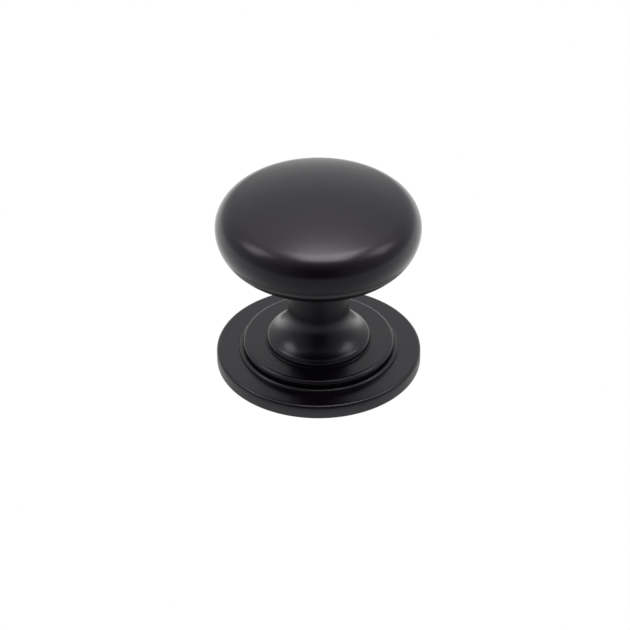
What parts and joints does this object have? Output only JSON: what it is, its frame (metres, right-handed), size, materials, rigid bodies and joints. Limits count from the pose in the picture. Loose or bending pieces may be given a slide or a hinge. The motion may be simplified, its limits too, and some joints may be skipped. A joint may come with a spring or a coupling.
{
  "type": "cabinet knob",
  "caption": "Round cabinet knob with a flattened ball head, slim neck and flared foot, standing on a stepped round backplate, in satin black.",
  "frame": {"origin": "centre of the rose's underside, on the face of the door or drawer front", "axes": "+Z straight out from the door along the axis that both pieces are turned about; X and Y lie across the door face"},
  "size_m": [0.038, 0.038, 0.0371],
  "materials": {
    "black_coating": "smooth satin black coating over turned metal"
  },
  "bodies": {
    "root": {"rose": "black_coating", "knob": "black_coating"}
  },
  "joints": []
}
